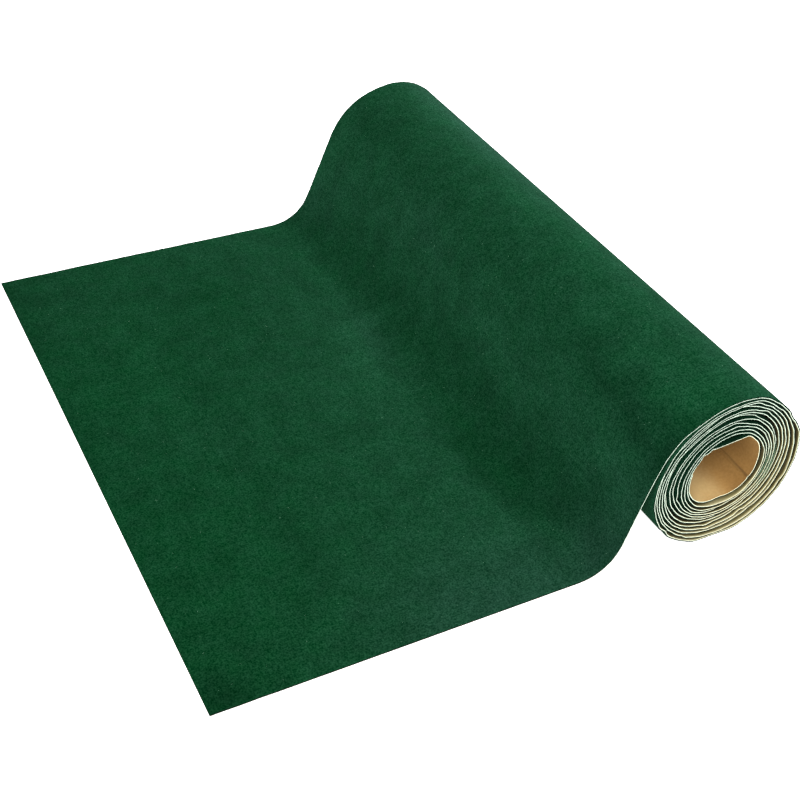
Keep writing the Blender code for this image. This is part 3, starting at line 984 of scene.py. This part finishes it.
ways = aside * side[:, None] + ahead * slant[:, None] + outward * lift[:, None]
lengths = chance.uniform(*TUFT_LENGTHS, total) * np.where(frayed, FRAYED_LONGER, 1.0)
tufts = hairs("loose_pile_tufts", roots, ways, lengths, TUFT_RADIUS, TUFT_BEND)
# The tufts along the cut edges are drawn nearly black, painted shade of the gaps between the turns; the
# frayed ones keep a light cotton colour
tufts.data.materials.append(loose_cotton("loose_pile_in_painted_shade", "08160f", "152c1f"))
tufts.data.materials.append(loose_cotton("frayed_cotton_pile", "2a4832", "86a182"))
tufts.data.polygons.foreach_set("material_index", np.repeat(frayed.astype(np.int32), FACES_PER_HAIR))

# The lint lies on the outside, as far as the outermost turn shows
OUTSIDE_LENGTH = 0.62
LINT_PIECES = 900
LINT_LENGTHS = (0.5 * MM, 1.7 * MM)
LINT_SHORTER = (0.4, 1.0)  # most pieces are shorter than that by some share
LINT_RADIUS = 0.075 * MM
LINT_BEND = 0.18
LINT_HEIGHT = 0.06 * MM  # above the tips of the pile
LINT_LIFT = 0.04
FROM_CUT_EDGE = 3 * MM
FROM_SELVEDGES = 2 * MM
along = chance.uniform(cloth_arc[-1] - OUTSIDE_LENGTH, cloth_arc[-1] - FROM_CUT_EDGE, LINT_PIECES)
across_it = chance.uniform(FROM_SELVEDGES, CLOTH_WIDTH - FROM_SELVEDGES, LINT_PIECES)
roots, ahead, aside, outward = on_cloth(along, across_it, np.full(LINT_PIECES, -LINT_HEIGHT))
turned = chance.uniform(0.0, 2.0 * math.pi, LINT_PIECES)[:, None]
ways = ahead * np.cos(turned) + aside * np.sin(turned) + outward * LINT_LIFT
lengths = chance.uniform(*LINT_LENGTHS, LINT_PIECES) * chance.uniform(*LINT_SHORTER, LINT_PIECES)
lint = hairs("lint", roots, ways, lengths, LINT_RADIUS, LINT_BEND)
lint.data.materials.append(loose_cotton("cotton_lint", "24583b", "83b496"))

for piece in (tufts, lint):
    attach(piece, "root")
    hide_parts("velvet_cloth")

# ---------------------------------------------------------------------------------------------
# Floor, light and camera. A pale floor under a wide soft studio light, seen from above the near
# corner of the loose end.
# ---------------------------------------------------------------------------------------------
scene = bpy.context.scene
scene.view_settings.view_transform = "Standard"

FLOOR_SIZE = 6.0
FLOOR_CLEAR = 0.2 * MM
bpy.ops.mesh.primitive_plane_add(size=FLOOR_SIZE, location=(0.0, 0.0, -FLOOR_CLEAR))
floor = bpy.context.object
floor.name = "studio_floor"
floor_material, _, floor_shader = new_material("matt_white_floor", Roughness=0.9)
floor_shader.inputs["Base Color"].default_value = linear("f7f7f7")
floor_shader.inputs["Specular IOR Level"].default_value = 0.0
floor_shader.inputs["Emission Color"].default_value = linear("ffffff")
floor_shader.inputs["Emission Strength"].default_value = 0.9
floor.data.materials.append(floor_material)

world = bpy.data.worlds.new("studio")
world.use_nodes = True
world.node_tree.nodes["Background"].inputs["Color"].default_value = (1.0, 1.0, 1.0, 1.0)
world.node_tree.nodes["Background"].inputs["Strength"].default_value = 1.0
scene.world = world

# Each softbox: where it stands, its side in metres and its watts. It faces the middle of the piece.
SOFTBOXES = {
    "key_softbox": ((-1.0, -1.2, 1.55), 1.6, 55.0),
    "rim_softbox": ((1.5, 0.3, 0.42), 1.0, 26.0),
}
for name, (place, side, watts) in SOFTBOXES.items():
    light = bpy.data.lights.new(name, "AREA")
    light.size = side
    light.energy = watts
    softbox = bpy.data.objects.new(name, light)
    softbox.location = place
    softbox.rotation_euler = (-Vector(place)).to_track_quat("-Z", "Y").to_euler()
    scene.collection.objects.link(softbox)

CAMERA_PLACE = (-0.2934, -0.5796, 0.5084)
CAMERA_TURN_DEG = 29.33  # from along the roll towards the roll's side
CAMERA_DOWN_DEG = 38.45
CAMERA_ROLL_DEG = 3.67
CAMERA_LENS = 59.08
turn, tilt = math.radians(CAMERA_TURN_DEG), math.radians(CAMERA_DOWN_DEG)
ahead = Vector((math.sin(turn) * math.cos(tilt), math.cos(turn) * math.cos(tilt), -math.sin(tilt)))
level_right = ahead.cross(Vector((0.0, 0.0, 1.0))).normalized()
level_up = level_right.cross(ahead)
roll = math.radians(CAMERA_ROLL_DEG)
right = level_right * math.cos(roll) + level_up * math.sin(roll)
up = level_up * math.cos(roll) - level_right * math.sin(roll)
camera_data = bpy.data.cameras.new("camera")
camera_data.lens = CAMERA_LENS
camera_data.sensor_width = 36.0
camera = bpy.data.objects.new("camera", camera_data)
camera_turned = Matrix((right, up, -ahead)).transposed().to_4x4()
camera.matrix_world = Matrix.Translation(CAMERA_PLACE) @ camera_turned
scene.collection.objects.link(camera)
scene.camera = camera
